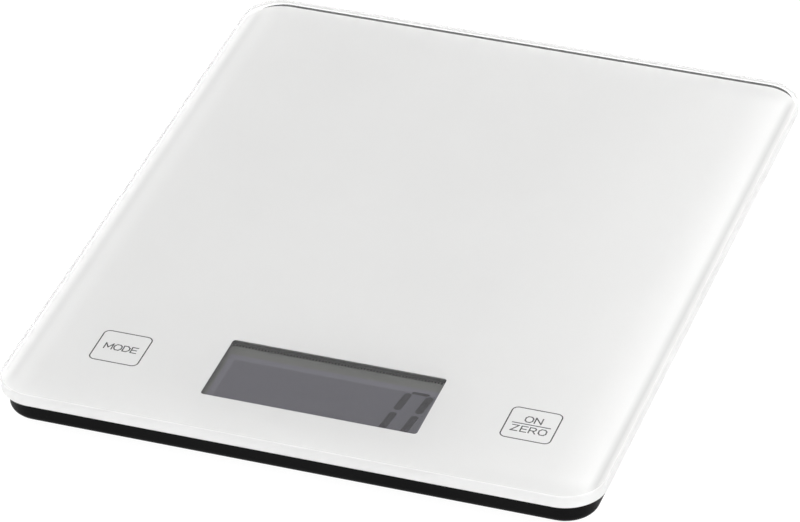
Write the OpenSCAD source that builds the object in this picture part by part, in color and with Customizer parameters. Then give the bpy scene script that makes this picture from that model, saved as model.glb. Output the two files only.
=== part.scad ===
// Slim electronic kitchen scale: a glass platform on a low base, with a display window, two touch keys
// and four load cells, each standing on its own foot.
// X runs to the user's right, Y away from the user, Z up. The origin is on the table, under the centre.

/* [Platform] */
// Width of the glass, left to right
platform_w = 182; // [178:1:194]
// Depth of the glass, front to back
platform_d = 224; // [220:1:240]
// Corner radius of the glass, seen from above
platform_r = 12.3; // [11:0.1:15]
// Thickness of the glass
glass_t = 3.8; // [3.8:0.1:4.4]
// Radius of the ground glass edge, above
glass_edge_r = 0.5; // [0.3:0.1:1.6]
// Radius of the ground glass edge, below
glass_low_edge_r = 0.2; // [0.2:0.1:0.6]
// Distance from the glass edge to the white print behind it
print_margin = 0.6; // [0.6:0.1:1.8]
// The same distance along the rear edge
rear_margin = 1.8; // [0.6:0.1:2.2]
// Height of the scale, from the table to the glass
height = 15; // [14.6:0.1:16]

/* [Base] */
// Distance from the glass edge to the side wall of the base
base_inset = 2.3; // [1.4:0.1:3]
// Distance from the top of the glass to the underside of the base
base_drop = 11; // [10.5:0.1:11.1]
// Radius of the base's lower edge
base_edge_r = 2; // [1.5:0.1:3]
// Thickness of the side wall
wall_t = 2.2; // [2:0.1:2.4]

/* [Display] */
// Width of the window in the white print
window_w = 65.4; // [60:0.2:66]
// Depth of the window in the white print
window_d = 27.8; // [25:0.1:28]
// Distance of the window's centre in front of the platform's centre
window_y = 79.9; // [79:0.1:80.5]
// Depth of the display glass below the printed face
display_drop = 2; // [1.9:0.05:2.1]
// Height of a digit
digit_h = 20.8; // [16:0.2:21]
// Width of a digit
digit_w = 8.8; // [7:0.2:10]

/* [Keys] */
// Width of a printed key outline
key_w = 15.3; // [13:0.1:16]
// Depth of a printed key outline
key_d = 15; // [12:0.1:16]
// Distance of each key's centre from the middle
key_x = 62.4; // [61:0.1:64]
// Width of the printed lines
line_w = 0.4; // [0.3:0.05:0.6]

/* [Feet] */
// Distance of a foot's centre from the middle, left to right
foot_x = 71; // [70:0.5:71]
// Distance of a foot's centre from the middle, front to back
foot_y = 92; // [91:0.5:92]
// Diameter of the cup that holds the rubber pad
foot_cup_d = 18; // [16:0.5:18.5]
// Diameter of the rubber pad
foot_pad_d = 15; // [12:0.5:15]
// Width of a square load cell
cell_w = 28; // [27:0.5:28]

/* [Battery] */
// Diameter of the coin cell
coin_d = 20; // [20:0.1:20]
// Thickness of the coin cell
coin_t = 3.2; // [3.2:0.1:3.2]
// Distance of the coin cell's centre in front of the platform's centre
coin_y = 15; // [10:1:20]

/* [Hidden] */
$fn = 48;
eps = 0.01;

CORNERS = [["front_left", -1, -1], ["front_right", 1, -1], ["back_left", -1, 1], ["back_right", 1, 1]];
SIDES = [["left", -1], ["right", 1]];

// Levels, from the glass down
print_t = 0.15;
legend_t = 0.05;
tape_t = 0.5;
deck_t = 1.2;
rim_gap = 0.3;
glass_low = height - glass_t;
print_low = glass_low - print_t;
deck_top = print_low - tape_t;
deck_low = deck_top - deck_t;
rim_top = glass_low - rim_gap;

// Levels, from the underside of the base up
floor_t = 1.2;
base_low = height - base_drop;
floor_top = base_low + floor_t;
board_t = 0.8;
board_low = floor_top + 0.4;
board_top = board_low + board_t;
load_cell_t = 1.3;
load_cell_low = deck_low - 2.2;
load_cell_top = load_cell_low + load_cell_t;

// Outlines
base_w = platform_w - 2 * base_inset;
base_d = platform_d - 2 * base_inset;
base_r = platform_r - base_inset;
deck_fit = wall_t + 0.25;
deck_w = base_w - 2 * deck_fit;
deck_d = base_d - 2 * deck_fit;
deck_r = base_r - deck_fit;

// Display stack
lcd_w = 70;
lcd_d = 32.4;
film_t = 0.15;
digit_t = 0.04;
lcd_top = glass_low - display_drop - film_t;
lcd_t = 1.4;
lcd_low = lcd_top - lcd_t;
deck_window_w = window_w + 2.2;
deck_window_d = window_d + 0.4;
frame_wall = 1;

// Legends: each letter is a list of lines through points, drawn on a body of cap height
cap = 2.6;
M = [[[0, 0], [0, cap], [1.15, 0.7], [2.3, cap], [2.3, 0]]];
N = [[[0, 0], [0, cap], [2, 0], [2, cap]]];
O = [[[0.6, 0], [1.6, 0], [2.2, 0.7], [2.2, 1.9], [1.6, cap], [0.6, cap], [0, 1.9], [0, 0.7], [0.6, 0]]];
D = [[[0, 0], [0, cap], [1.1, cap], [1.9, 1.8], [1.9, 0.8], [1.1, 0], [0, 0]]];
E = [[[1.7, cap], [0, cap], [0, 0], [1.7, 0]], [[0, cap / 2], [1.5, cap / 2]]];
R = [[[0, 0], [0, cap], [1.4, cap], [1.8, 2.2], [1.8, 1.6], [1.4, 1.2], [0, 1.2]], [[1, 1.2], [1.9, 0]]];
Z = [[[0, cap], [1.9, cap], [0, 0], [1.9, 0]]];
legend_rule_w = 11.6;

// Circuit board: a main strip under the display, with an ear for each touch spring
board_w = 104;
board_front = -99;
board_back = -60.5;
ear_x = 69;
ear_front = -77.5;
spring_y = -70.5;
spring_d = 5;
spring_wire_r = 0.25;
foil_t = 0.1;
board_screw_places = [for (x = [-48, 48], y = [-95.5, -64]) [x, y]];

// Screws that hold the base shell to the carrier
case_screw_places = concat([for (x = [-78, 78], y = [-45, 45]) [x, y]], [[0, -103.4], [0, 101]],
                           [for (x = [-30, 30]) [x, 45]]);
screw_d = 2.2;
screw_head_d = 4;
screw_head_low = base_low + 0.4;
screw_head_t = 1.2;
cup_top = base_low + 2.6;

// Battery bay and its door, hinged on a barrel along the door's rear edge
coin_low = floor_top + 0.25;
coin_top = coin_low + coin_t;
bay_wall = 1.5;
bay_r = coin_d / 2 + 0.3;
barrel_r = 0.8;
hinge_y = -coin_y + coin_d / 2 + 3.6;
hinge_z = base_low + barrel_r;
door_front = -coin_y - coin_d / 2 - 3;
door_w = 26;
door_gap = 0.15;
pin_r = 0.4;
pin_reach = 1.2;

// ---- shared shapes

// The corner that is cut away from a square to leave a quarter-round of radius r
module corner_waste(r) {
    difference() {
        square(r + eps);
        circle(r);
    }
}

// A rectangle with round corners
module rounded(w, d, r) {
    difference() {
        square([w, d], center = true);
        for (sx = [-1, 1], sy = [-1, 1]) scale([sx, sy]) translate([w / 2 - r, d / 2 - r]) corner_waste(r);
    }
}

module plate(w, d, r, low, high) {
    translate([0, 0, low]) linear_extrude(high - low) rounded(w, d, r);
}

// Half of an edged slab's cross-section: x is the reach from the middle, y the height
module half_profile(reach, low, high, low_r, high_r) {
    difference() {
        translate([0, low]) square([reach, high - low]);
        if (low_r > 0) translate([reach - low_r, low + low_r]) mirror([0, 1]) corner_waste(low_r);
        if (high_r > 0) translate([reach - high_r, high - high_r]) corner_waste(high_r);
    }
}

// A round-cornered slab whose lower and upper edges are rounded as well, made of nine pieces set edge to edge
module edged_slab(w, d, r, low, high, low_r, high_r) {
    for (side = [0, 1]) mirror([side, 0, 0]) {
        translate([w / 2 - r, d / 2 - r, 0]) rotate([90, 0, 0])
            linear_extrude(d - 2 * r) half_profile(r, low, high, low_r, high_r);
        for (end = [0, 1]) mirror([0, end, 0]) translate([w / 2 - r, d / 2 - r, 0])
            rotate_extrude(angle = 90) half_profile(r, low, high, low_r, high_r);
    }
    for (end = [0, 1]) mirror([0, end, 0]) translate([r - w / 2, 0, 0]) rotate([90, 0, 90])
        linear_extrude(w - 2 * r) half_profile(d / 2, low, high, low_r, high_r);
}

function unit(v) = v / norm(v);

// A tube of radius r swept along a list of points, with rings square to the route
module tube(route, r, sides = 8) {
    last = len(route) - 1;
    rings = [for (i = [0 : last])
        let (t = unit(route[min(i + 1, last)] - route[max(i - 1, 0)]),
             a = unit(cross(t, abs(t.z) < 0.9 ? [0, 0, 1] : [1, 0, 0])),
             b = cross(t, a))
        for (k = [0 : sides - 1]) route[i] + r * (cos(360 * k / sides) * a + sin(360 * k / sides) * b)];
    walls = [for (i = [0 : last - 1], k = [0 : sides - 1])
        let (n = (k + 1) % sides) [i * sides + k, i * sides + n, (i + 1) * sides + n, (i + 1) * sides + k]];
    polyhedron(rings, concat([[for (k = [sides - 1 : -1 : 0]) k]], walls,
                             [[for (k = [0 : sides - 1]) last * sides + k]]));
}

// The same route with each inner corner cut back and rounded over three points
function rounded_route(p, cut) = concat([p[0]],
    [for (i = [1 : len(p) - 2])
        let (a = p[i] + cut * unit(p[i - 1] - p[i]), b = p[i] + cut * unit(p[i + 1] - p[i]))
        for (q = [a, (a + b + 2 * p[i]) / 4, b]) q],
    [p[len(p) - 1]]);

module at_corner(c) {
    translate([c[1] * foot_x, c[2] * foot_y, 0]) scale([1, -c[2], 1]) children();
}

// ---- the platform

module glass_platform() {
    color("azure", 0.5)
        edged_slab(platform_w, platform_d, platform_r, glass_low, height, glass_low_edge_r, glass_edge_r);
}

// The key outlines, the dividing rule and the plain block letters of the legends, in the plane of the glass
module legend_shapes() {
    for (s = SIDES) translate([s[1] * key_x, -window_y]) difference() {
        rounded(key_w, key_d, 2);
        rounded(key_w - 2 * line_w, key_d - 2 * line_w, 2 - line_w);
    }
    translate([key_x, -window_y]) square([legend_rule_w, line_w], center = true);
    legend([[M, 0], [O, 2.9], [D, 5.7], [E, 8.2]], -key_x - 4.95, -window_y);
    legend([[O, 0], [N, 2.9]], key_x - 2.45, -window_y + 2.4);
    legend([[Z, 0], [E, 2.8], [R, 5.3], [O, 8.1]], key_x - 5.15, -window_y - 2.4);
}

// Draws letters, each given with its own shift to the right, with the middle of their height at y
module legend(letters, x, y) {
    for (letter = letters, line = letter[0], i = [1 : len(line) - 1]) {
        run = line[i] - line[i - 1];
        translate([x + letter[1], y - cap / 2] + line[i - 1]) rotate(atan2(run.y, run.x))
            translate([-line_w / 2, -line_w / 2]) square([norm(run) + line_w, line_w]);
    }
}

module key_legends() {
    color("dimgray") translate([0, 0, glass_low - legend_t]) linear_extrude(legend_t) legend_shapes();
}

module white_backprint() {
    color("white") difference() {
        translate([0, (print_margin - rear_margin) / 2, 0])
            plate(platform_w - 2 * print_margin, platform_d - print_margin - rear_margin,
                  platform_r - print_margin, print_low, glass_low);
        translate([0, -window_y, 0]) plate(window_w, window_d, 1, print_low - 1, glass_low + 1);
        translate([0, 0, glass_low - legend_t]) linear_extrude(1) legend_shapes();
    }
}

// Double-sided tape: a ring near the edge, a ring round the window and three cross strips
module mounting_tape() {
    color("gainsboro") translate([0, 0, deck_top]) linear_extrude(tape_t) {
        difference() {
            rounded(deck_w - 4, deck_d - 4, deck_r - 2);
            rounded(deck_w - 18, deck_d - 18, 1);
        }
        translate([0, -window_y]) difference() {
            rounded(deck_window_w + 7, deck_window_d + 7, 2);
            rounded(deck_window_w, deck_window_d, 0.5);
        }
        for (y = [-30, 20, 62]) translate([0, y]) square([150, 10], center = true);
    }
}

module touch_foil(side) {
    color("silver") translate([side * key_x, 0, print_low - foil_t]) linear_extrude(foil_t) {
        translate([0, -window_y]) rounded(14, 13.4, 1.5);
        translate([-4, spring_y - 3]) square([8, 6]);
    }
}

// ---- the two halves of the base

module at_case_screws() {
    for (p = case_screw_places) translate([p.x, p.y, 0]) children();
}

// Deck that is taped to the glass, with posts for the board, bosses for the screws, a ring for the coin cell
// and ribs over the load cells
module glass_carrier() {
    post_d = 5.5;
    color("dimgray") difference() {
        union() {
            plate(deck_w, deck_d, deck_r, deck_low, deck_top);
            at_case_screws() translate([0, 0, cup_top]) cylinder(d = post_d, h = deck_top - cup_top - eps);
            for (p = board_screw_places) translate([p.x, p.y, board_top])
                cylinder(d = 5, h = deck_top - board_top - eps);
            translate([0, -coin_y, coin_low]) cylinder(r = bay_r + bay_wall, h = deck_top - coin_low - eps);
            for (c = CORNERS) at_corner(c) for (s = [-1, 1])
                translate([s * (cell_w / 2 - 1.25), 0, (load_cell_top + deck_top) / 2])
                    cube([2.5, cell_w - 4, deck_top - load_cell_top - 2 * eps], center = true);
            for (x = [-45, 45]) translate([x - 0.6, -48, deck_low - 1.8]) cube([1.2, 146, 2]);
            for (y = [0, 62]) translate([-84, y - 0.6, deck_low - 1.8]) cube([168, 1.2, 2]);
        }
        translate([0, -window_y, 0]) plate(deck_window_w, deck_window_d, 0.5, deck_low - 1, deck_top + 1);
        for (s = SIDES) translate([s[1] * key_x, spring_y, deck_low - 1]) cylinder(d = 7, h = deck_t + 2);
        at_case_screws() translate([0, 0, cup_top - 1]) cylinder(d = screw_d, h = deck_top - cup_top + 0.4);
        for (p = board_screw_places) translate([p.x, p.y, board_top - 1]) cylinder(d = 1.8, h = 4);
        translate([0, -coin_y, coin_low - 1]) cylinder(r = bay_r, h = deck_low - coin_low + 1);
        // Slots in the ring for the two contacts
        for (s = [-1, 1]) translate([s * (bay_r + bay_wall / 2), -coin_y, (coin_low + deck_low) / 2])
            cube([2 * bay_wall, 6, deck_low - coin_low + 1], center = true);
        // Room above the door's hinge
        translate([-door_w / 2 - 4, hinge_y - 1.5, base_low]) cube([door_w + 8, 3, deck_low - base_low - eps]);
    }
}

// Tray with a rounded lower edge, open above, that carries the load cells and the battery door
module base_shell() {
    color("black") difference() {
        union() {
            difference() {
                union() {
                    edged_slab(base_w, base_d, base_r, base_low, rim_top, base_edge_r, 0);
                    // Lip that closes the gap below the glass along the rear edge
                    translate([0, base_inset - 0.3, 0])
                        plate(base_w, base_d, base_r, rim_top - 0.5, print_low - 0.05);
                }
                plate(base_w - 2 * wall_t, base_d - 2 * wall_t, base_r - wall_t, floor_top, rim_top + 1);
            }
            // Cups that take the screw heads
            at_case_screws() translate([0, 0, floor_top - 0.5]) cylinder(d = 7, h = cup_top - floor_top + 0.5);
            // Ribs under the load cells, with a lip outside them
            for (c = CORNERS) at_corner(c) for (s = [-1, 1]) {
                translate([s * (cell_w / 2 - 1.25), 0, (floor_top + load_cell_low) / 2 - 0.25])
                    cube([2.5, cell_w - 4, load_cell_low - floor_top + 0.5], center = true);
                translate([s * (cell_w / 2 + 0.7), 0, floor_top + 1]) cube([1, cell_w - 10, 3], center = true);
            }
            // Blocks that carry the door's pivots, and the ledge that stops the door
            for (s = [-1, 1]) translate([s * (door_w / 2 + door_gap + 1.25), hinge_y, base_low + 1.3])
                cube([2.5, 4, 2.4], center = true);
            translate([-6, door_front - 2, floor_top - 0.3]) cube([12, 2.9, 0.9]);
        }
        // Door opening, with its rear edge cut back below so that the door can swing past upright
        translate([-door_w / 2 - door_gap, door_front - door_gap, base_low - 1])
            cube([door_w + 2 * door_gap, hinge_y - door_front + barrel_r + 2 * door_gap, floor_t + 1]);
        translate([-door_w / 2 - door_gap, hinge_y + barrel_r + door_gap, base_low]) rotate([90, 0, 90])
            linear_extrude(door_w + 2 * door_gap) polygon([[-0.5, -0.5], [1.2, -0.5], [-0.5, 1.2]]);
        translate([-door_w / 2 - door_gap, hinge_y - 2.5, base_low - 1])
            cube([door_w + 2 * door_gap, 2.5 + barrel_r + door_gap, 4]);
        // Pivot holes, and the hollow for a fingertip at the door's free edge
        for (s = [-1, 1]) translate([s * (door_w / 2 + door_gap + 0.7), hinge_y, hinge_z]) rotate([0, 90, 0])
            cylinder(r = pin_r + 0.05, h = 1.5, center = true);
        translate([0, door_front - 1.2, base_low - 3.4]) rotate([0, 90, 0])
            cylinder(r = 4, h = 12, center = true);
        for (c = CORNERS) at_corner(c) translate([0, 0, base_low - 1]) cylinder(d = foot_cup_d + 1.4, h = 4);
        at_case_screws() {
            translate([0, 0, base_low - 1]) cylinder(d = 4.8, h = 1 + screw_head_low + screw_head_t - base_low);
            translate([0, 0, base_low]) cylinder(d = screw_d + 0.4, h = 5);
        }
        for (p = board_screw_places) translate([p.x, p.y, base_low + 0.6]) cylinder(d = 6, h = 2);
    }
}

// One screw standing on its head, with a cross slot below
module screw(head_d, head_t, shank_d, shank_l) {
    difference() {
        union() {
            cylinder(d = head_d, h = head_t);
            translate([0, 0, head_t]) cylinder(d = shank_d, h = shank_l);
        }
        for (a = [0, 90]) rotate([0, 0, a]) cube([head_d * 0.6, 0.45, head_t], center = true);
    }
}

module case_screws() {
    color("silver") at_case_screws() translate([0, 0, screw_head_low])
        screw(screw_head_d, screw_head_t, screw_d, 4.4);
}

module rating_label() {
    color("silver") translate([0, 45, 0]) plate(50, 24, 2, base_low - 0.08, base_low);
}

// ---- feet and load cells

// Spring-steel plate: the rim is held by the base, and the foot hangs on the tongue in the middle
module load_cell(c) {
    tongue_w = 13;
    slot = 1.5;
    color("lightsteelblue") at_corner(c) difference() {
        plate(cell_w, cell_w, 2, load_cell_low, load_cell_top);
        for (s = [-1, 1]) translate([s * (tongue_w + slot) / 2, -1.5, load_cell_low])
            cube([slot, 17, 3 * load_cell_t], center = true);
        translate([0, -9.25, load_cell_low]) cube([tongue_w + 2 * slot, slot, 3 * load_cell_t], center = true);
        cylinder(d = 4, h = height);
    }
}

module gauge_sealant() {
    color("white") for (c = CORNERS) at_corner(c) translate([0, 9, 0])
        plate(9, 5, 2, load_cell_top, deck_low - 0.2);
}

module foot_cup(c) {
    pocket = base_low - 2.3;
    color("black") at_corner(c) difference() {
        union() {
            translate([0, 0, pocket - 0.8]) cylinder(d = foot_cup_d, h = base_low + 1.6 - pocket + 0.8);
            translate([0, 0, base_low + 1]) cylinder(d = 9, h = load_cell_low - base_low - 1);
            translate([0, 0, load_cell_low - 1]) cylinder(d = 3.8, h = load_cell_t + 1.2);
        }
        translate([0, 0, pocket - 1]) cylinder(d = foot_pad_d + 0.1, h = 1);
    }
}

module foot_pad(c) {
    color("dimgray") at_corner(c) difference() {
        cylinder(d = foot_pad_d, h = base_low - 2.3);
        for (r = [3, 5]) translate([0, 0, -eps]) difference() {
            cylinder(r = r + 0.4, h = 0.3);
            cylinder(r = r - 0.4, h = 0.3);
        }
    }
}

// ---- display, board and keys

module circuit_board() {
    color("darkgreen") difference() {
        union() {
            translate([-board_w / 2, board_front, board_low]) cube([board_w, board_back - board_front, board_t]);
            translate([-ear_x, ear_front, board_low]) cube([2 * ear_x, board_back - ear_front, board_t]);
        }
        for (p = board_screw_places) translate([p.x, p.y, board_low - 1]) cylinder(d = 2.2, h = 3);
    }
}

module board_screws() {
    head_t = 0.8;
    color("silver") for (p = board_screw_places) translate([p.x, p.y, board_low - head_t])
        screw(3.6, head_t, 1.8, 3.5);
}

// Epoxy dome over the controller
module controller_blob() {
    dome_r = 4.5;
    dome_h = 1.2;
    ball_r = (dome_r * dome_r + dome_h * dome_h) / (2 * dome_h);
    color("black") translate([-44, -82, board_top]) intersection() {
        translate([0, 0, dome_h - ball_r]) sphere(r = ball_r, $fn = 96);
        cylinder(r = dome_r, h = dome_h + 1);
    }
}

// Chip capacitors and resistors in two rows, and the clock crystal
module board_parts() {
    color("tan") {
        for (x = [39.5, 42, 44.5], y = [-88, -84.5, -81]) translate([x, y, board_top]) cube([1.2, 2, 0.6]);
        for (y = [-75, -72]) translate([-46, y, board_top]) cube([2, 1.2, 0.6]);
        translate([40, -75, board_top + 1]) rotate([0, 90, 0]) cylinder(d = 2, h = 6);
    }
}

module display_glass() {
    ledge = 2.4;
    color("lightgray", 0.6) translate([0, -window_y, 0]) {
        plate(lcd_w, lcd_d, 0.3, lcd_low, lcd_low + lcd_t / 2);
        plate(lcd_w, lcd_d - 2 * ledge, 0.3, lcd_low + lcd_t / 2, lcd_top);
    }
}

module display_polariser() {
    color("slategray") translate([0, -window_y, 0]) plate(lcd_w - 1, lcd_d - 5.4, 0.3, lcd_top, lcd_top + film_t);
}

module display_reflector() {
    color("gray") translate([0, -window_y, 0]) plate(lcd_w - 1, lcd_d - 6, 0.3, lcd_low - film_t, lcd_low);
}

// One dark segment between two points, with its ends cut to points
module segment(from, to, w) {
    gap = 0.2;
    run = to - from;
    l = norm(run);
    translate(from) rotate(atan2(run.y, run.x))
        polygon([[gap, 0], [gap + w / 2, -w / 2], [l - gap - w / 2, -w / 2], [l - gap, 0],
                 [l - gap - w / 2, w / 2], [gap + w / 2, w / 2]]);
}

// The segments of a nought in the right-hand digit place, leaning a little to the right
module display_digits() {
    upright_w = 1.8;
    crossbar_w = 1.2;
    digit_x = 25.7;
    digit_y = -2.6;
    lean = 0.12;
    reach = (digit_w - upright_w) / 2;
    half = (digit_h - crossbar_w) / 2;
    function leaned(x, y) = [x + lean * y, y];
    color("dimgray") translate([digit_x, digit_y - window_y, lcd_top + film_t]) linear_extrude(digit_t)
        for (s = [-1, 1]) {
            segment(leaned(s * reach, 0), leaned(s * reach, half), upright_w);
            segment(leaned(s * reach, -half), leaned(s * reach, 0), upright_w);
            segment(leaned(-reach, s * half), leaned(reach, s * half), crossbar_w);
        }
}

module display_frame() {
    color("black") translate([0, -window_y, 0]) difference() {
        plate(lcd_w + 0.2 + 2 * frame_wall, lcd_d + 0.2 + 2 * frame_wall, 1, board_top, deck_low);
        plate(lcd_w + 0.2, lcd_d + 0.2, 0.4, board_top - 1, deck_low + 1);
    }
}

module conductive_strips() {
    strip_w = 1.8;
    color("dimgray") for (s = [-1, 1])
        translate([0, s * (lcd_d / 2 - strip_w / 2 - 0.2) - window_y, (board_top + lcd_low) / 2])
            cube([lcd_w - 2, strip_w, lcd_low - board_top], center = true);
}

module touch_spring(side) {
    turns = 4;
    per_turn = 12;
    coil_r = spring_d / 2 - spring_wire_r;
    low = board_top + spring_wire_r;
    high = print_low - foil_t - spring_wire_r;
    steps = turns * per_turn;
    color("gold") translate([side * key_x, spring_y, 0])
        tube([for (i = [0 : steps]) [coil_r * cos(360 * i / per_turn), coil_r * sin(360 * i / per_turn),
                                     low + (high - low) * i / steps]], spring_wire_r, 6);
}

// Three wires from each gauge: the front cells' drop on to the board's ears, the rear cells' run along the floor.
// A lane is a wire's distance outside its neighbours, and a bend is cut back by its share of that.
module sensor_leads() {
    wire_r = 0.4;
    wire_pitch = 1.2;
    floor_z = floor_top + wire_r + 0.05;
    board_z = board_top + wire_r + 0.05;
    gauge_z = load_cell_top + wire_r;
    color("firebrick") for (side = [-1, 1], i = [0 : 2]) {
        lane = i * wire_pitch;
        gauge_x = side * (foot_x - 1 + lane);
        tube(rounded_route([[gauge_x, 11.7 - foot_y, gauge_z],
                            [gauge_x, 15.5 - foot_y, gauge_z],
                            [gauge_x, 20 - foot_y, board_z],
                            [gauge_x, -69.2 + 2 * lane, board_z],
                            [side * (ear_x - 2), -69.2 + 2 * lane, board_z]], 1), wire_r);
        tube(rounded_route([[gauge_x, foot_y - 11.7, gauge_z],
                            [gauge_x, foot_y - 15.5, gauge_z],
                            [gauge_x, foot_y - 21, floor_z],
                            [gauge_x, 56 - 0.4 * lane, floor_z],
                            [side * (60 + lane), 46 - 0.4 * lane, floor_z],
                            [side * (60 + lane), -46 - 0.6 * lane, floor_z],
                            [side * (41.5 + lane), -56 - 0.6 * lane, board_z],
                            [side * (41.5 + lane), -62.5, board_z]], 1.5), wire_r);
    }
}

// ---- battery bay

module battery_door() {
    door_d = hinge_y - door_front;
    color("black") difference() {
        union() {
            translate([-door_w / 2, door_front, base_low]) cube([door_w, door_d, floor_t]);
            translate([0, hinge_y, hinge_z]) rotate([0, 90, 0]) {
                cylinder(r = barrel_r, h = door_w, center = true);
                cylinder(r = pin_r, h = door_w + 2 * pin_reach, center = true);
            }
            // Ribs that the coin cell rests on
            for (x = [-5, 5]) translate([x - 0.5, -coin_y - 7, floor_top - 0.2])
                cube([1, 14, coin_low - floor_top + 0.2]);
        }
        // Finger grooves near the free edge
        for (i = [0 : 3]) translate([-6, door_front + 1.2 + 1.4 * i, base_low - 0.1]) cube([12, 0.6, 0.4]);
    }
}

module coin_cell() {
    color("silver") translate([0, -coin_y, coin_low]) difference() {
        union() {
            cylinder(d = coin_d, h = coin_t - 0.5);
            cylinder(d = coin_d - 2.6, h = coin_t);
        }
        translate([0, 0, -eps]) difference() {
            cylinder(d = coin_d - 2, h = 0.1);
            cylinder(d = coin_d - 2.6, h = 0.1);
        }
    }
}

// Clip beside the cell, and its tail to the lead
module positive_contact() {
    strip = 0.3;
    color("gold") translate([coin_d / 2 + 0.1, -coin_y, 0]) rotate([90, 0, 0]) linear_extrude(4, center = true) {
        translate([0, coin_low + 0.3]) square([strip, deck_low - coin_low - 0.3]);
        translate([0, deck_low - strip]) square([5.5, strip]);
    }
}

// Leaf that presses on the top of the cell, and its tail to the lead
module negative_contact() {
    strip = 0.25;
    color("gold") translate([-coin_d / 2, -coin_y, 0]) rotate([90, 0, 0]) linear_extrude(4, center = true) {
        translate([-5.5, deck_low - strip]) square([9, strip]);
        polygon([[3.5, deck_low], [3.5, deck_low - strip], [9, coin_top], [10, coin_top],
                 [10, coin_top + strip], [9, coin_top + strip]]);
    }
}

module battery_leads() {
    wire_r = 0.45;
    color("firebrick") for (side = [-1, 1])
        tube(rounded_route([[side * (coin_d / 2 + 4.4), -coin_y, deck_low - 0.35 - wire_r],
                            [side * (coin_d / 2 + 4.4), -coin_y - 10, deck_low - 0.35 - wire_r],
                            [side * 8, -coin_y - 26, board_top + wire_r + 0.05],
                            [side * 8, -62, board_top + wire_r + 0.05]], 2), wire_r);
}

// ---- drawing

glass_platform();
white_backprint();
key_legends();
mounting_tape();
glass_carrier();
base_shell();
case_screws();
rating_label();
battery_door();
coin_cell();
positive_contact();
negative_contact();
battery_leads();
circuit_board();
board_screws();
controller_blob();
board_parts();
display_glass();
display_polariser();
display_reflector();
display_digits();
display_frame();
conductive_strips();
gauge_sealant();
sensor_leads();
for (s = SIDES) {
    touch_foil(s[1]);
    touch_spring(s[1]);
}
for (c = CORNERS) {
    load_cell(c);
    foot_cup(c);
    foot_pad(c);
}
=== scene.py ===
import math
import bmesh
import bpy
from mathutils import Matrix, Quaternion, Vector


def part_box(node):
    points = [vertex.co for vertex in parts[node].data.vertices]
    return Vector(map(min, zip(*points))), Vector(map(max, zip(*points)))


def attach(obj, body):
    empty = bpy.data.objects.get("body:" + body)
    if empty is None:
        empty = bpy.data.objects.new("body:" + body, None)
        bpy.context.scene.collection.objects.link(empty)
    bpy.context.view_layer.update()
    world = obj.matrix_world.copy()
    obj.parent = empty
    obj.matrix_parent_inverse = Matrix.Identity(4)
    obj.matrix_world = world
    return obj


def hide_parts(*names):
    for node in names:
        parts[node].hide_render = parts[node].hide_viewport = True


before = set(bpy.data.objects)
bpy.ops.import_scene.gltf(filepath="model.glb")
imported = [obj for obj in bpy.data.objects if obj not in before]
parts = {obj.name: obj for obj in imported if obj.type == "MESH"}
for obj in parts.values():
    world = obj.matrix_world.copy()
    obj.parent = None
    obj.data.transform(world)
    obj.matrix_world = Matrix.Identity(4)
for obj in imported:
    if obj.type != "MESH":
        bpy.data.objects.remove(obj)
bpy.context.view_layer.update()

# ---- Base tray, battery door, foot cups and display frame
# Injection-moulded black ABS. The mould is spark-eroded, so the skin has a fine, even grain that
# scatters the light, and hands polish it a little in patches. The plastic is dyed through.

BLACK_ABS = (0.0040, 0.0040, 0.0043)
BLACK_ABS_WORN = (0.0052, 0.0052, 0.0055)
BLACK_SHEEN = 0.05


def new_finish(name, colour, roughness, metallic=0.0):
    """A finish with one Principled shader, and a node that gives the place on the piece in metres."""
    finish = bpy.data.materials.new(name)
    finish.use_nodes = True
    shader = finish.node_tree.nodes["Principled BSDF"]
    shader.inputs["Base Color"].default_value = (*colour, 1)
    shader.inputs["Roughness"].default_value = roughness
    shader.inputs["Metallic"].default_value = metallic
    place = finish.node_tree.nodes.new("ShaderNodeTexCoord").outputs["Object"]
    return finish, finish.node_tree, shader, place


def group_of(name, kind, inputs, outputs):
    """An empty node group with those sockets, and its two end nodes."""
    tree = bpy.data.node_groups.new(name, kind)
    for label, socket, value in inputs:
        made = tree.interface.new_socket(label, in_out="INPUT", socket_type=socket)
        if value is not None:
            made.default_value = value
    for label, socket in outputs:
        tree.interface.new_socket(label, in_out="OUTPUT", socket_type=socket)
    return tree, tree.nodes.new("NodeGroupInput"), tree.nodes.new("NodeGroupOutput")


def node(tree, kind, inputs=(), **settings):
    """A node with its settings, and each input either joined to a socket or given a value."""
    made = tree.nodes.new(kind)
    for key, value in settings.items():
        setattr(made, key, value)
    for key, value in dict(inputs).items():
        if isinstance(value, bpy.types.NodeSocket):
            tree.links.new(value, made.inputs[key])
        else:
            made.inputs[key].default_value = value
    return made


def sized(tree, place, size):
    """The place divided by a size in metres, so that a pattern repeats at that size."""
    inverse = node(tree, "ShaderNodeMath", {0: 1.0, 1: size}, operation="DIVIDE").outputs[0]
    return node(tree, "ShaderNodeVectorMath", {0: place, "Scale": inverse}, operation="SCALE").outputs[0]


def moulded_grain():
    """Shader group: the height of a spark-eroded skin."""
    tree, start, end = group_of("Moulded grain", "ShaderNodeTree",
                                [("Place", "NodeSocketVector", None),
                                 ("Grain Size", "NodeSocketFloat", 0.0006)],
                                [("Height", "NodeSocketFloat")])
    spread = sized(tree, start.outputs["Place"], start.outputs["Grain Size"])
    pits = node(tree, "ShaderNodeTexVoronoi", {"Vector": spread, "Scale": 1.0}, feature="SMOOTH_F1")
    waves = node(tree, "ShaderNodeTexNoise", {"Vector": spread, "Scale": 0.6, "Detail": 3.0})
    mixed = node(tree, "ShaderNodeMath", {0: pits.outputs["Distance"], 1: waves.outputs[0]},
                 operation="MULTIPLY")
    tree.links.new(mixed.outputs[0], end.inputs["Height"])
    return tree


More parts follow.
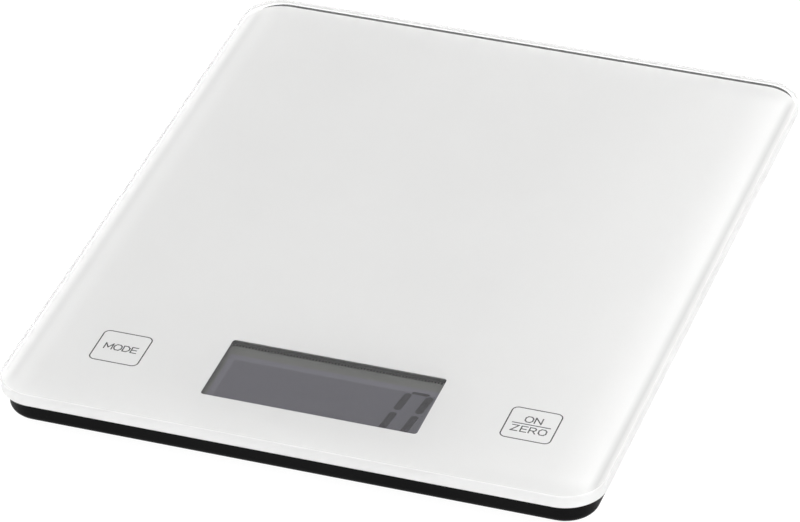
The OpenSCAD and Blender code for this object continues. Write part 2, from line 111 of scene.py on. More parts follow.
def handled_patches():
    """Shader group: a roughness that wanders between two values over patches, as hands leave it."""
    tree, start, end = group_of("Handled patches", "ShaderNodeTree",
                                [("Place", "NodeSocketVector", None), ("Patch Size", "NodeSocketFloat", 0.03),
                                 ("Smoothest", "NodeSocketFloat", 0.3), ("Roughest", "NodeSocketFloat", 0.5)],
                                [("Roughness", "NodeSocketFloat")])
    spread = sized(tree, start.outputs["Place"], start.outputs["Patch Size"])
    cloud = node(tree, "ShaderNodeTexNoise",
                 {"Vector": spread, "Scale": 1.0, "Detail": 4.0, "Distortion": 0.6})
    ranged = node(tree, "ShaderNodeMapRange", {"Value": cloud.outputs[0], "From Min": 0.3, "From Max": 0.7,
                                               "To Min": start.outputs["Smoothest"],
                                               "To Max": start.outputs["Roughest"]})
    tree.links.new(ranged.outputs[0], end.inputs["Roughness"])
    return tree


def batch_tint():
    """Shader group: a colour that drifts a little from place to place, as a moulded or printed batch does."""
    tree, start, end = group_of("Batch tint", "ShaderNodeTree",
                                [("Place", "NodeSocketVector", None), ("Drift Size", "NodeSocketFloat", 0.02),
                                 ("Color", "NodeSocketColor", (0.5, 0.5, 0.5, 1)),
                                 ("Drift Color", "NodeSocketColor", (0.5, 0.5, 0.5, 1))],
                                [("Color", "NodeSocketColor")])
    spread = sized(tree, start.outputs["Place"], start.outputs["Drift Size"])
    cloud = node(tree, "ShaderNodeTexNoise", {"Vector": spread, "Scale": 1.0, "Detail": 2.0})
    ranged = node(tree, "ShaderNodeMapRange", {"Value": cloud.outputs[0], "From Min": 0.35, "From Max": 0.65})
    mixed = node(tree, "ShaderNodeMix", {0: ranged.outputs[0], 6: start.outputs["Color"],
                                         7: start.outputs["Drift Color"]}, data_type="RGBA")
    tree.links.new(mixed.outputs[2], end.inputs["Color"])
    return tree


grain_group, patch_group, tint_group = moulded_grain(), handled_patches(), batch_tint()


def drifting(tree, shader, place, size, colour, other):
    """Feeds the shader a colour that drifts between two close ones."""
    tint = node(tree, "ShaderNodeGroup", node_tree=tint_group)
    tree.links.new(place, tint.inputs["Place"])
    tint.inputs["Drift Size"].default_value = size
    tint.inputs["Color"].default_value = (*colour, 1)
    tint.inputs["Drift Color"].default_value = (*other, 1)
    tree.links.new(tint.outputs["Color"], shader.inputs["Base Color"])
    return tint.outputs["Color"]


def handled(tree, shader, place, size, smoothest, roughest):
    """Feeds the shader a roughness that wanders between two values."""
    patches = node(tree, "ShaderNodeGroup", node_tree=patch_group)
    tree.links.new(place, patches.inputs["Place"])
    patches.inputs["Patch Size"].default_value = size
    patches.inputs["Smoothest"].default_value = smoothest
    patches.inputs["Roughest"].default_value = roughest
    tree.links.new(patches.outputs["Roughness"], shader.inputs["Roughness"])


def raised(tree, shader, height, depth):
    """Feeds the shader a bump of that depth in metres."""
    bump = node(tree, "ShaderNodeBump", {"Strength": 1.0, "Distance": depth, "Height": height})
    tree.links.new(bump.outputs["Normal"], shader.inputs["Normal"])


def grained(tree, shader, place, size, depth):
    """Feeds the shader the moulded grain."""
    grain = node(tree, "ShaderNodeGroup", node_tree=grain_group)
    tree.links.new(place, grain.inputs["Place"])
    grain.inputs["Grain Size"].default_value = size
    raised(tree, shader, grain.outputs["Height"], depth)


def give(finish, slot, *names):
    """Puts a finish on CAD nodes."""
    for name in names:
        parts[name].material_slots[0].material = finish


black_abs, tree, shader, place = new_finish("Black ABS", BLACK_ABS, 0.42)
shader.inputs["Specular IOR Level"].default_value = BLACK_SHEEN
drifting(tree, shader, place, 0.03, BLACK_ABS, BLACK_ABS_WORN)
handled(tree, shader, place, 0.025, 0.36, 0.50)
grained(tree, shader, place, 0.0007, 0.00007)
give(black_abs, "black_plastic", "base_shell", "battery_door", "display_frame", "glass_carrier",
     *[f"{corner}_foot_cup" for corner in ("front_left", "front_right", "back_left", "back_right")])

# ---- Case and board screws
# Small pan-head thread-forming screws, zinc plated, driven up into the bosses of the carrier.
# The plating is bright with a faint yellow cast and dulls where it has been handled.

ZINC = (0.62, 0.61, 0.57)
ZINC_DULLED = (0.52, 0.52, 0.50)

zinc, tree, shader, place = new_finish("Zinc plate", ZINC, 0.3, 1.0)
drifting(tree, shader, place, 0.002, ZINC, ZINC_DULLED)
handled(tree, shader, place, 0.0015, 0.2, 0.42)
give(zinc, "plated_screw", "case_screws", "board_screws")

# ---- Rubber foot pads
# Round black rubber pads pressed into the cups of the feet. Each has a rolled rim and two ribs round a
# raised button, so that it grips the table.

PAD_RUBBER = (0.022, 0.022, 0.023)
PAD_DUST = (0.03, 0.03, 0.031)
PAD_SPOKES = 72
RIB_HEIGHT = 0.0004
RIB_FILL = 0.9
RIB_WAVES = 3.5
RIB_STEPS = 60
RIM_R = 0.0008
PAD_EASE = 0.0001


def lathe(outline, spokes):
    """A closed mesh turned about Z from (radius, height) points that start and end on the axis."""
    turned = bmesh.new()
    turns = [2 * math.pi * k / spokes for k in range(spokes)]
    rings = [[turned.verts.new((r * math.cos(turn), r * math.sin(turn), z)) for turn in turns]
             for r, z in outline[1:-1]]
    for low, high in zip(rings, rings[1:]):
        for k in range(spokes):
            turned.faces.new((low[k - 1], low[k], high[k], high[k - 1]))
    first, last = turned.verts.new((0, 0, outline[0][1])), turned.verts.new((0, 0, outline[-1][1]))
    for k in range(spokes):
        turned.faces.new((rings[0][k], rings[0][k - 1], first))
        turned.faces.new((rings[-1][k - 1], rings[-1][k], last))
    bmesh.ops.recalc_face_normals(turned, faces=turned.faces)
    for face in turned.faces:
        face.smooth = True
    mesh = bpy.data.meshes.new("turned")
    turned.to_mesh(mesh)
    turned.free()
    return mesh


def repeat_at_corners():
    """Geometry Nodes tree: sets its own geometry down at the four corners of a rectangle, as one mesh."""
    tree, start, end = group_of("Set at four corners", "GeometryNodeTree",
                                [("Geometry", "NodeSocketGeometry", None), ("Across", "NodeSocketFloat", 0.1),
                                 ("Along", "NodeSocketFloat", 0.1), ("Level", "NodeSocketFloat", 0.0),
                                 ("Finish", "NodeSocketMaterial", None)],
                                [("Geometry", "NodeSocketGeometry")])
    corners = node(tree, "GeometryNodeMeshGrid",
                   {"Size X": start.outputs["Across"], "Size Y": start.outputs["Along"],
                    "Vertices X": 2, "Vertices Y": 2})
    level = node(tree, "ShaderNodeCombineXYZ", {"Z": start.outputs["Level"]})
    lifted = node(tree, "GeometryNodeSetPosition",
                  {"Geometry": corners.outputs["Mesh"], "Offset": level.outputs[0]})
    copies = node(tree, "GeometryNodeInstanceOnPoints", {"Points": lifted.outputs[0],
                                                         "Instance": start.outputs["Geometry"]})
    real = node(tree, "GeometryNodeRealizeInstances", {"Geometry": copies.outputs[0]})
    done = node(tree, "GeometryNodeSetMaterial",
                {"Geometry": real.outputs[0], "Material": start.outputs["Finish"]})
    tree.links.new(done.outputs[0], end.inputs["Geometry"])
    return tree


def grown(name, mesh, tree, **values):
    """A piece whose mesh is what a Geometry Nodes tree makes of another mesh with those named inputs."""
    source = bpy.data.objects.new(f"{name}_source", mesh)
    bpy.context.scene.collection.objects.link(source)
    modifier = source.modifiers.new("grow", "NODES")
    modifier.node_group = tree
    labels = {item.name.replace(" ", "_").lower(): item.identifier for item in tree.interface.items_tree
              if item.item_type == "SOCKET" and item.in_out == "INPUT"}
    for label, value in values.items():
        modifier[labels[label]] = value
    made = bpy.data.meshes.new_from_object(source.evaluated_get(bpy.context.evaluated_depsgraph_get()))
    source.modifiers.remove(modifier)
    bpy.data.objects.remove(source)
    piece = bpy.data.objects.new(name, made)
    bpy.context.scene.collection.objects.link(piece)
    return piece


rubber, tree, shader, place = new_finish("Pad rubber", PAD_RUBBER, 0.75)
drifting(tree, shader, place, 0.004, PAD_RUBBER, PAD_DUST)
grained(tree, shader, place, 0.0004, 0.00005)

pad_low, pad_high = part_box("front_right_foot_pad")
pad_r, pad_t = (pad_high.x - pad_low.x) / 2, pad_high.z - pad_low.z
ribs = [(0.0, PAD_EASE)]
for step in range(1, RIB_STEPS):
    wave = 1 + math.cos(2 * math.pi * RIB_WAVES * step / RIB_STEPS + math.pi)
    ribs.append((step / RIB_STEPS * (pad_r - RIM_R), 0.5 * RIB_HEIGHT * wave * RIB_FILL))
rim = [(pad_r - RIM_R + RIM_R * math.sin(math.radians(a)), RIM_R - RIM_R * math.cos(math.radians(a)))
       for a in range(0, 91, 10)]
pad_outline = ribs + rim + [(pad_r, pad_t - PAD_EASE), (pad_r - PAD_EASE, pad_t), (0, pad_t)]
corner_tree = repeat_at_corners()
foot_pads = grown("foot_pads", lathe(pad_outline, PAD_SPOKES), corner_tree, across=pad_low.x + pad_high.x,
                  along=-(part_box("front_right_foot_pad")[0].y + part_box("front_right_foot_pad")[1].y),
                  level=0.0, finish=rubber)
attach(foot_pads, "scale_body")
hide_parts("front_left_foot_pad", "front_right_foot_pad", "back_left_foot_pad",
            "back_right_foot_pad")

# ---- Load cells and the sealant over their gauges
# Blanked from spring-steel strip, cold rolled and nickel flashed, so a faint rolling grain runs across.
# A strain gauge sits on each under a dab of white silicone.

STEEL = (0.56, 0.57, 0.58)
STEEL_DARKER = (0.50, 0.51, 0.53)
SILICONE = (0.78, 0.78, 0.76)
SILICONE_DARKER = (0.70, 0.70, 0.68)

spring_steel, tree, shader, place = new_finish("Rolled spring steel", STEEL, 0.32, 1.0)
stretched = node(tree, "ShaderNodeMapping", {"Vector": place, "Scale": (300.0, 9000.0, 300.0)})
rolling = node(tree, "ShaderNodeTexNoise", {"Vector": stretched.outputs[0], "Scale": 1.0, "Detail": 2.0})
drifting(tree, shader, place, 0.006, STEEL, STEEL_DARKER)
handled(tree, shader, place, 0.01, 0.24, 0.4)
raised(tree, shader, rolling.outputs[0], 0.00001)
give(spring_steel, "cell_steel",
     *[f"{corner}_load_cell" for corner in ("front_left", "front_right", "back_left", "back_right")])

silicone, tree, shader, place = new_finish("White silicone", SILICONE, 0.45)
shader.inputs["Subsurface Weight"].default_value = 0.2
shader.inputs["Subsurface Radius"].default_value = (0.001, 0.001, 0.001)
drifting(tree, shader, place, 0.003, SILICONE, SILICONE_DARKER)
grained(tree, shader, place, 0.0015, 0.0001)
give(silicone, "silicone", "gauge_sealant")

# ---- Coin cell, its contacts and the touch springs
# The cell is a pressed stainless can, turned and nickel plated. The contacts are blanked and the springs
# wound from nickel-plated brass, and the touch foils are cut from the same stock.

CAN_NICKEL = (0.66, 0.66, 0.65)
CAN_NICKEL_DULLED = (0.60, 0.60, 0.59)
CONTACT_NICKEL = (0.68, 0.64, 0.55)
CONTACT_NICKEL_WORN = (0.60, 0.55, 0.44)

can, tree, shader, place = new_finish("Cell can", CAN_NICKEL, 0.3, 1.0)
centre = (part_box("coin_cell")[0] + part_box("coin_cell")[1]) / 2
about = node(tree, "ShaderNodeMapping", {"Vector": place, "Location": tuple(-centre)})
turning = node(tree, "ShaderNodeTexWave", {"Vector": about.outputs[0], "Scale": 900.0, "Distortion": 2.0,
                                          "Detail": 2.0}, wave_type="RINGS", rings_direction="Z")
drifting(tree, shader, place, 0.008, CAN_NICKEL, CAN_NICKEL_DULLED)
handled(tree, shader, place, 0.006, 0.2, 0.38)
raised(tree, shader, turning.outputs["Color"], 0.000004)
give(can, "cell_can", "coin_cell")

contact_nickel, tree, shader, place = new_finish("Nickel-plated brass", CONTACT_NICKEL, 0.25, 1.0)
drifting(tree, shader, place, 0.004, CONTACT_NICKEL, CONTACT_NICKEL_WORN)
handled(tree, shader, place, 0.003, 0.16, 0.34)
give(contact_nickel, "contact_metal", "positive_contact", "negative_contact", "left_touch_foil",
     "right_touch_foil", "left_touch_spring", "right_touch_spring")

# ---- Leads
# Stranded wire in red PVC, laid in the tray and soldered to the board. The jacket is extruded, so it is
# smooth along its length with a soft, waxy gloss.

RED_PVC = (0.42, 0.012, 0.01)
RED_PVC_DARKER = (0.36, 0.010, 0.009)

jacket, tree, shader, place = new_finish("Red PVC jacket", RED_PVC, 0.35)
drifting(tree, shader, place, 0.01, RED_PVC, RED_PVC_DARKER)
handled(tree, shader, place, 0.004, 0.28, 0.42)
give(jacket, "wire_jacket", "sensor_leads", "battery_leads")

# ---- Circuit board and its parts
# Glass-epoxy laminate under green solder mask, with tracks that show through as paler lines. A black epoxy
# dome covers the controller, and small ceramic parts sit beside it.

SOLDER_MASK = (0.012, 0.085, 0.03)
EPOXY = (0.012, 0.012, 0.012)
EPOXY_PALER = (0.018, 0.018, 0.018)
CERAMIC = (0.44, 0.33, 0.22)
CERAMIC_DARKER = (0.36, 0.27, 0.18)

laminate, tree, shader, place = new_finish("Green solder mask", SOLDER_MASK, 0.3)
tracks = node(tree, "ShaderNodeTexBrick",
              {"Vector": sized(tree, place, 0.004), "Color1": (0.014, 0.10, 0.035, 1),
               "Color2": (0.010, 0.075, 0.026, 1), "Mortar": (0.03, 0.19, 0.075, 1), "Scale": 1.0,
               "Mortar Size": 0.06, "Brick Width": 1.6, "Row Height": 0.35})
tree.links.new(tracks.outputs["Color"], shader.inputs["Base Color"])
handled(tree, shader, place, 0.006, 0.22, 0.36)
raised(tree, shader, tracks.outputs["Fac"], 0.00003)
give(laminate, "board_laminate", "circuit_board")

epoxy, tree, shader, place = new_finish("Black epoxy", EPOXY, 0.22)
drifting(tree, shader, place, 0.003, EPOXY, EPOXY_PALER)
handled(tree, shader, place, 0.002, 0.15, 0.32)
give(epoxy, "epoxy", "controller_blob")

ceramic, tree, shader, place = new_finish("Chip ceramic", CERAMIC, 0.5)
drifting(tree, shader, place, 0.002, CERAMIC, CERAMIC_DARKER)
grained(tree, shader, place, 0.0003, 0.00002)
give(ceramic, "chip_ceramic", "board_parts")

# ---- Conductive strips
# Layered rubber: thin conducting and insulating sheets stacked across, cut into strips that press the
# display's contacts to the board's.

strip, tree, shader, place = new_finish("Layered strip rubber", (0.1, 0.1, 0.1), 0.6)
layers = node(tree, "ShaderNodeTexWave", {"Vector": place, "Scale": 320.0}, wave_type="BANDS",
              bands_direction="X")
stripes = node(tree, "ShaderNodeMix",
               {0: layers.outputs["Fac"], 6: (0.02, 0.02, 0.02, 1), 7: (0.50, 0.42, 0.42, 1)},
               data_type="RGBA")
tree.links.new(stripes.outputs[2], shader.inputs["Base Color"])
give(strip, "strip_rubber", "conductive_strips")

# ---- Display
# Two sheets of thin glass with the liquid crystal sealed between them, a grey reflector behind and a grey
# polariser in front. Between the seal and the edge of the film the grey is a little paler and more violet
# than in the field, and outside the film it is neutral.

FIELD = (0.079, 0.077, 0.094)
FIELD_BORDER = (0.122, 0.118, 0.142)
FILM_EDGE = (0.110, 0.112, 0.106)
REFLECTOR = (0.12, 0.12, 0.12)
REFLECTOR_PALER = (0.14, 0.14, 0.135)
FILM_SHEEN = 0.1
SEAL_EDGES = (-0.0304, 0.0318, -0.0724)
SEAL_BLUR = 0.0008
FILM_EDGES = (-0.0322, 0.0326, -0.0702)
FILM_BLUR = 0.0004

cell_glass, tree, shader, place = new_finish("Display glass", (0.93, 0.95, 0.94), 0.05)
shader.inputs["Transmission Weight"].default_value = 1.0
shader.inputs["IOR"].default_value = 1.5
handled(tree, shader, place, 0.01, 0.02, 0.07)
give(cell_glass, "display_glass", "display_glass")

reflector, tree, shader, place = new_finish("Grey reflector", REFLECTOR, 0.5)
drifting(tree, shader, place, 0.01, REFLECTOR, REFLECTOR_PALER)
grained(tree, shader, place, 0.0002, 0.00001)
give(reflector, "reflector_film", "display_reflector")

polariser, tree, shader, place = new_finish("Grey polariser", FIELD, 0.35)
shader.inputs["Specular IOR Level"].default_value = FILM_SHEEN
axes = node(tree, "ShaderNodeSeparateXYZ", {0: place})


def step_at(tree, value, low, high):
    """From 0 to 1 as the value goes from low to high."""
    return node(tree, "ShaderNodeMapRange", {"Value": value, "From Min": low, "From Max": high},
                interpolation_type="SMOOTHSTEP").outputs[0]


def both(tree, a, b):
    """1 where both values are 1."""
    return node(tree, "ShaderNodeMath", {0: a, 1: b}, operation="MULTIPLY").outputs[0]


def inside(tree, axes, left, right, rear, blur):
    """1 in the part of the display between left and right and in front of rear, with blurred edges."""
    x, y = axes.outputs["X"], axes.outputs["Y"]
    across = both(tree, step_at(tree, x, left, left + blur), step_at(tree, x, right, right - blur))
    return both(tree, across, step_at(tree, y, rear, rear - blur))


inside_seal = inside(tree, axes, *SEAL_EDGES, SEAL_BLUR)
inside_film = inside(tree, axes, *FILM_EDGES, FILM_BLUR)
border = node(tree, "ShaderNodeMix", {0: inside_film, 6: (*FILM_EDGE, 1), 7: (*FIELD_BORDER, 1)},
              data_type="RGBA")
field = node(tree, "ShaderNodeMix", {0: inside_seal, 6: border.outputs[2], 7: (*FIELD, 1)}, data_type="RGBA")
tree.links.new(field.outputs[2], shader.inputs["Base Color"])
handled(tree, shader, place, 0.02, 0.3, 0.4)
give(polariser, "polariser_film", "display_polariser")

# ---- Shown digit
# The segments of a nought in the right-hand digit place. They are what the liquid crystal darkens, so they
# lie in the plane of the display: a dark grey with a violet cast, leaning slightly, with pointed ends.

SEGMENT = (0.006, 0.005, 0.009)
SEGMENT_PALER = (0.014, 0.013, 0.018)
DIGIT_W = 0.0088
UPRIGHT_W = 0.0023
CROSSBAR_W = 0.0012
END_GAP = 0.0005
LEAN = 0.12
POINT_FROM = 0.42


def segment_tree():
    """Geometry Nodes tree: sets its own unit segment down as the uprights and crossbars of a nought."""
    tree, start, end = group_of("Nought from segments", "GeometryNodeTree",
                                [("Geometry", "NodeSocketGeometry", None),
                                 ("Digit Width", "NodeSocketFloat", 0.009),
                                 ("Digit Height", "NodeSocketFloat", 0.0206),
                                 ("Upright Width", "NodeSocketFloat", 0.002),
                                 ("Crossbar Width", "NodeSocketFloat", 0.001),
                                 ("End Gap", "NodeSocketFloat", 0.0002),
                                 ("Lean", "NodeSocketFloat", 0.0), ("Thickness", "NodeSocketFloat", 0.00004),
                                 ("Centre", "NodeSocketVector", None),
                                 ("Finish", "NodeSocketMaterial", None)],
                                [("Geometry", "NodeSocketGeometry")])

    def maths(operation, a, b):
        return node(tree, "ShaderNodeMath", {0: a, 1: b}, operation=operation).outputs[0]

    width, height = start.outputs["Digit Width"], start.outputs["Digit Height"]
    thick, gap = start.outputs["Thickness"], start.outputs["End Gap"]
    span_x = maths("SUBTRACT", width, start.outputs["Upright Width"])
    span_y = maths("SUBTRACT", height, start.outputs["Crossbar Width"])
    upright_rows = maths("MULTIPLY", span_y, 0.5)
    uprights = node(tree, "GeometryNodeMeshGrid", {"Size X": span_x, "Size Y": upright_rows, "Vertices X": 2,
                                                   "Vertices Y": 2}).outputs["Mesh"]
    top = node(tree, "ShaderNodeCombineXYZ", {"Y": upright_rows}).outputs[0]
    bottom = node(tree, "ShaderNodeVectorMath", {0: top, "Scale": -1.0}, operation="SCALE").outputs[0]
    crossbars = node(tree, "GeometryNodeMeshLine", {"Count": 2, "Start Location": bottom, "Offset": top},
                     mode="END_POINTS").outputs["Mesh"]
    bars = []
    for points, bar_w, span, turn in ((uprights, start.outputs["Upright Width"], upright_rows, 0.0),
                                      (crossbars, start.outputs["Crossbar Width"], span_x, math.pi / 2)):
        size = node(tree, "ShaderNodeCombineXYZ",
                    {"X": bar_w, "Y": maths("SUBTRACT", span, maths("MULTIPLY", gap, 2.0)), "Z": thick})
        copies = node(tree, "GeometryNodeInstanceOnPoints",
                      {"Points": points, "Instance": start.outputs["Geometry"], "Scale": size.outputs[0],
                       "Rotation": (0.0, 0.0, turn)})
        bars.append(node(tree, "GeometryNodeRealizeInstances", {"Geometry": copies.outputs[0]}).outputs[0])
    joined = node(tree, "GeometryNodeJoinGeometry")
    for bar in bars:
        tree.links.new(bar, joined.inputs[0])
    spot = node(tree, "ShaderNodeSeparateXYZ", {0: node(tree, "GeometryNodeInputPosition").outputs[0]})
    shift = maths("MULTIPLY", spot.outputs["Y"], start.outputs["Lean"])
    slant = node(tree, "ShaderNodeCombineXYZ", {"X": shift})
    leaned = node(tree, "GeometryNodeSetPosition", {"Geometry": joined.outputs[0], "Offset": slant.outputs[0]})
    placed = node(tree, "GeometryNodeSetPosition",
                  {"Geometry": leaned.outputs[0], "Offset": start.outputs["Centre"]})
    done = node(tree, "GeometryNodeSetMaterial",
                {"Geometry": placed.outputs[0], "Material": start.outputs["Finish"]})
    tree.links.new(done.outputs[0], end.inputs["Geometry"])
    return tree


def pointed_bar():
    """A bar 1 wide, 1 long and 1 thick, with its ends cut to points."""
    bar = bmesh.new()
    outline = [(0, -0.5), (0.5, -POINT_FROM), (0.5, POINT_FROM), (0, 0.5), (-0.5, POINT_FROM),
               (-0.5, -POINT_FROM)]
    low, high = [[bar.verts.new((x, y, z)) for x, y in outline] for z in (0, 1)]
    bar.faces.new(low[::-1])
    bar.faces.new(high)
    for k in range(len(outline)):
        bar.faces.new((low[k - 1], low[k], high[k], high[k - 1]))
    mesh = bpy.data.meshes.new("pointed_bar")
    bar.to_mesh(mesh)
    bar.free()
    return mesh


lit_segment, tree, shader, place = new_finish("Dark segment", SEGMENT, 0.35)
shader.inputs["Specular IOR Level"].default_value = FILM_SHEEN
drifting(tree, shader, place, 0.002, SEGMENT, SEGMENT_PALER)
handled(tree, shader, place, 0.02, 0.3, 0.4)

digit_low, digit_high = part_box("display_digits")
digit_mid = (digit_low + digit_high) / 2
nought = grown("shown_nought", pointed_bar(), segment_tree(), digit_width=DIGIT_W,
               digit_height=digit_high.y - digit_low.y, upright_width=UPRIGHT_W, crossbar_width=CROSSBAR_W,
               end_gap=END_GAP, lean=LEAN, thickness=digit_high.z - digit_low.z,
               centre=(digit_mid.x, digit_mid.y, digit_low.z), finish=lit_segment)
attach(nought, "scale_body")
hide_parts("display_digits")

# ---- Mounting tape
# Grey acrylic foam tape, die-cut and pressed between the carrier's deck and the printed glass. Its cut
# edge shows the small open cells of the foam.

FOAM = (0.22, 0.22, 0.22)
FOAM_PALER = (0.25, 0.25, 0.25)

foam, tree, shader, place = new_finish("Acrylic foam tape", FOAM, 0.8)
drifting(tree, shader, place, 0.003, FOAM, FOAM_PALER)
grained(tree, shader, place, 0.0002, 0.00004)
give(foam, "foam_tape", "mounting_tape")

# ---- Print behind the glass
# White ceramic ink, screen-printed and fired on the back of the glass, with a clear window left for the
# display. The key outlines and legends were printed first, in dark grey. Near the left and right borders
# the white carries painted light: a painted shade line, cast by the glass edge, beside a painted bright band
# of light let in through the edge wall. Both end before the corners, and the right part is painted lighter
# where the side lamp falls.

WHITE_INK = (0.91, 0.91, 0.905)
WHITE_INK_DARKER = (0.90, 0.90, 0.895)
GREY_INK = (0.025, 0.025, 0.026)
GREY_INK_PALER = (0.035, 0.035, 0.036)
RAMP_REACH = 0.095
# Painted light: the painted shade line and bright band fade out between these distances to the front and back.
PAINTED_LINES_FADE = (0.100, 0.108)
MIDDLE_TONE = 0.88
# Painted light: tones across the print, with a painted shade line and a painted bright band near each side
# border, and a lighter right part.
PAINTED_LIGHT_TONES = ((-0.0888, 0.94), (-0.0873, 0.81), (-0.0853, 0.90), (-0.0836, 0.915), (-0.0800, MIDDLE_TONE),
             (0.0300, MIDDLE_TONE), (0.0740, 0.925), (0.0845, 1.0), (0.0863, 0.98), (0.0881, 0.68),
             (0.0886, 0.68), (0.0895, 0.87))

white_ink, tree, shader, place = new_finish("White ceramic ink", WHITE_INK, 0.6)
ink = drifting(tree, shader, place, 0.04, WHITE_INK, WHITE_INK_DARKER)
axes = node(tree, "ShaderNodeSeparateXYZ", {0: place})
across = node(tree, "ShaderNodeMapRange",
              {"Value": axes.outputs["X"], "From Min": -RAMP_REACH, "From Max": RAMP_REACH})
# This ramp paints the edge shade line, the bright band and the lighter right part into the ink colour.
painted_tones = node(tree, "ShaderNodeValToRGB", {0: across.outputs[0]})
for at_x, tone in PAINTED_LIGHT_TONES:
    stop = painted_tones.color_ramp.elements.new(0.5 + 0.5 * at_x / RAMP_REACH)
    stop.color = (tone, tone, tone, 1)
for end_stop in (0, -1):
    painted_tones.color_ramp.elements.remove(painted_tones.color_ramp.elements[end_stop])
depth_way = node(tree, "ShaderNodeMath", {0: axes.outputs["Y"]}, operation="ABSOLUTE").outputs[0]
shown = node(tree, "ShaderNodeMix", {0: step_at(tree, depth_way, *PAINTED_LINES_FADE), 6: painted_tones.outputs[0],
                                     7: (MIDDLE_TONE, MIDDLE_TONE, MIDDLE_TONE, 1)}, data_type="RGBA")
ink_with_painted_light = node(tree, "ShaderNodeMix", {0: 1.0, 6: ink, 7: shown.outputs[2]}, data_type="RGBA",
             blend_type="MULTIPLY")
tree.links.new(ink_with_painted_light.outputs[2], shader.inputs["Base Color"])
grained(tree, shader, place, 0.0003, 0.000004)
give(white_ink, "white_print", "white_backprint")

grey_ink, tree, shader, place = new_finish("Grey ceramic ink", GREY_INK, 0.6)
drifting(tree, shader, place, 0.003, GREY_INK, GREY_INK_PALER)
grained(tree, shader, place, 0.0003, 0.000004)
give(grey_ink, "grey_print", "key_legends")

# ---- Glass platform
# One sheet of clear float glass, tempered, with polished faces and an edge wall left as ground, which
# scatters the light. The fired print lies inside the glass's lower skin, so no air gap is between them.

CORNER_R = 0.0123
LOWER_EDGE_R = 0.0002
UPPER_EDGE_R = 0.0005
CORNER_STEPS = 24
EDGE_STEPS = 8
SKIN = 0.00002
GLASS_IOR = 1.5
POLISH = (0.0, 0.012)
GROUND_ROUGHNESS = 0.8

low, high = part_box("glass_platform")
half_w, half_d = high.x, high.y


def rounded_ring(inset):
    """Points and outward directions round the glass, that far in from its edge."""
    ring = []
    for turn, (sx, sy) in enumerate(((1, 1), (-1, 1), (-1, -1), (1, -1))):
        for k in range(CORNER_STEPS + 1):
            a = math.radians(90 * (turn + k / CORNER_STEPS))
            out = Vector((math.cos(a), math.sin(a), 0))
            middle = Vector((sx * (half_w - CORNER_R), sy * (half_d - CORNER_R), 0))
            ring.append((middle + out * (CORNER_R - inset), out))
    return ring


slab = bmesh.new()
rings, normals = [], []
edge = [(-90 + 90 * k / EDGE_STEPS, LOWER_EDGE_R, low.z - SKIN + LOWER_EDGE_R) for k in range(EDGE_STEPS + 1)]
edge += [(90 * k / EDGE_STEPS, UPPER_EDGE_R, high.z - UPPER_EDGE_R) for k in range(EDGE_STEPS + 1)]
for angle, edge_r, middle_z in edge:
    a = math.radians(angle)
    level = middle_z + edge_r * math.sin(a)
    ring = []
    for point, out in rounded_ring(edge_r * (1 - math.cos(a))):
        ring.append(slab.verts.new((point.x, point.y, level)))
        normals.append(out * math.cos(a) + Vector((0, 0, math.sin(a))))
    rings.append(ring)
for below, above in zip(rings, rings[1:]):
    for k in range(len(below)):
        slab.faces.new((below[k - 1], below[k], above[k], above[k - 1]))
slab.faces.new(rings[0][::-1])
slab.faces.new(rings[-1])
glass_mesh = bpy.data.meshes.new("glass_slab")
slab.to_mesh(glass_mesh)
slab.free()
for polygon in glass_mesh.polygons:
    polygon.use_smooth = True
glass_mesh.normals_split_custom_set_from_vertices([n.normalized() for n in normals])
ground = glass_mesh.attributes.new("ground", "FLOAT", "FACE")
ground.data.foreach_set("value", [0.0 if len(polygon.vertices) > 4 else 1.0
                                  for polygon in glass_mesh.polygons])
glass_slab = bpy.data.objects.new("glass_slab", glass_mesh)
bpy.context.scene.collection.objects.link(glass_slab)

clear_glass, tree, shader, place = new_finish("Clear float glass", (1.0, 1.0, 1.0), 0.0)
shader.inputs["Transmission Weight"].default_value = 1.0
shader.inputs["IOR"].default_value = GLASS_IOR
handled(tree, shader, place, 0.05, *POLISH)
polished = shader.inputs["Roughness"].links[0].from_socket
edge_mark = node(tree, "ShaderNodeAttribute", attribute_name="ground").outputs["Fac"]
roughened = node(tree, "ShaderNodeMix", {0: edge_mark, 2: polished, 3: GROUND_ROUGHNESS}, data_type="FLOAT")
tree.links.new(roughened.outputs[0], shader.inputs["Roughness"])
glass_mesh.materials.append(clear_glass)
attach(glass_slab, "scale_body")
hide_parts("glass_platform")

# ---- Rating label
# A blank label of matt silver polyester film, die-cut with rounded corners and stuck to the underside of
# the base.

LABEL_SILVER = (0.55, 0.55, 0.56)
LABEL_SILVER_DARKER = (0.50, 0.50, 0.51)

label, tree, shader, place = new_finish("Silver label film", LABEL_SILVER, 0.45, 0.6)
drifting(tree, shader, place, 0.01, LABEL_SILVER, LABEL_SILVER_DARKER)
handled(tree, shader, place, 0.01, 0.36, 0.5)
give(label, "label_film", "rating_label")

# ---- Table, lights and camera
# A white table that glows, under a large soft light overhead that fades towards the horizon, with a broad
# lamp to the right that lifts that side a little.

ZENITH = 2.55
HORIZON = 0.6
SKY_FADE = (0.6, 0.9)
TABLE_REACH = 6.0
TABLE_WHITE = (0.12, 0.12, 0.12)
TABLE_GLOW = 0.97
LAMP_AT = (0.75, 0.1, 0.55)
LAMP_AIM = (0.05, 0, 0)
LAMP_SIZE = 0.6
LAMP_WATTS = 3.8
CAMERA_LENS = 235.6
CAMERA_SENSOR = 36
CAMERA_AZIMUTH = 19.616
CAMERA_ELEVATION = 34.695
CAMERA_ROLL = -1.2512
CAMERA_AIM = (0.00126, -0.01617, 0.015)
CAMERA_DISTANCE = 1.5476

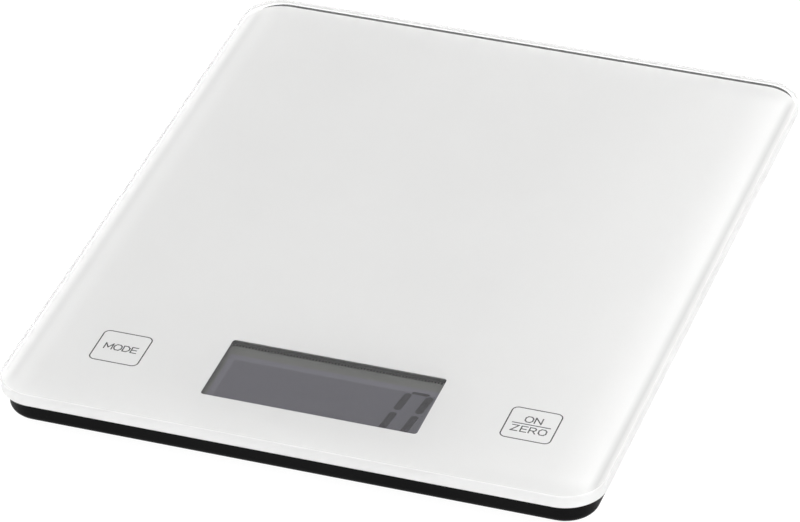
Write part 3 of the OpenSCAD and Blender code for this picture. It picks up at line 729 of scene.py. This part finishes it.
table = bpy.data.meshes.new("table_top")
table.from_pydata([(x * TABLE_REACH, y * TABLE_REACH, 0) for x, y in ((-1, -1), (1, -1), (1, 1), (-1, 1))],
                  [], [(0, 1, 2, 3)])
table_top = bpy.data.objects.new("table_top", table)
bpy.context.scene.collection.objects.link(table_top)
table_white, tree, shader, place = new_finish("White table", TABLE_WHITE, 0.8)
shader.inputs["Specular IOR Level"].default_value = 0.1
shader.inputs["Emission Color"].default_value = (1, 1, 1, 1)
shader.inputs["Emission Strength"].default_value = TABLE_GLOW
table.materials.append(table_white)

sky = bpy.data.worlds.new("soft_sky")
bpy.context.scene.world = sky
sky.use_nodes = True
direction = sky.node_tree.nodes.new("ShaderNodeTexCoord").outputs["Generated"]
up = node(sky.node_tree, "ShaderNodeSeparateXYZ", {0: direction}).outputs["Z"]
glow = node(sky.node_tree, "ShaderNodeMapRange",
            {"Value": up, "From Min": SKY_FADE[0], "From Max": SKY_FADE[1], "To Min": HORIZON, "To Max": ZENITH},
            interpolation_type="SMOOTHSTEP")
sky.node_tree.links.new(glow.outputs[0], sky.node_tree.nodes["Background"].inputs["Strength"])
sky.node_tree.nodes["Background"].inputs["Color"].default_value = (1, 1, 1, 1)

lamp = bpy.data.lights.new("side_lamp", "AREA")
lamp.shape, lamp.size, lamp.energy = "SQUARE", LAMP_SIZE, LAMP_WATTS
lamp_holder = bpy.data.objects.new("side_lamp", lamp)
lamp_holder.location = LAMP_AT
lamp_holder.rotation_euler = (Vector(LAMP_AIM) - Vector(LAMP_AT)).to_track_quat("-Z", "Y").to_euler()
bpy.context.scene.collection.objects.link(lamp_holder)

camera = bpy.data.objects.new("camera", bpy.data.cameras.new("camera"))
bpy.context.scene.collection.objects.link(camera)
camera.data.lens, camera.data.sensor_width = CAMERA_LENS, CAMERA_SENSOR
azimuth, elevation = math.radians(CAMERA_AZIMUTH), math.radians(CAMERA_ELEVATION)
back = Vector((math.sin(azimuth) * math.cos(elevation), -math.cos(azimuth) * math.cos(elevation),
               math.sin(elevation)))
camera.location = Vector(CAMERA_AIM) + CAMERA_DISTANCE * back
camera.rotation_mode = "QUATERNION"
camera.rotation_quaternion = ((-back).to_track_quat("-Z", "Y")
                              @ Quaternion((0, 0, 1), math.radians(CAMERA_ROLL)))
bpy.context.scene.camera = camera
bpy.context.scene.view_settings.view_transform = "Standard"
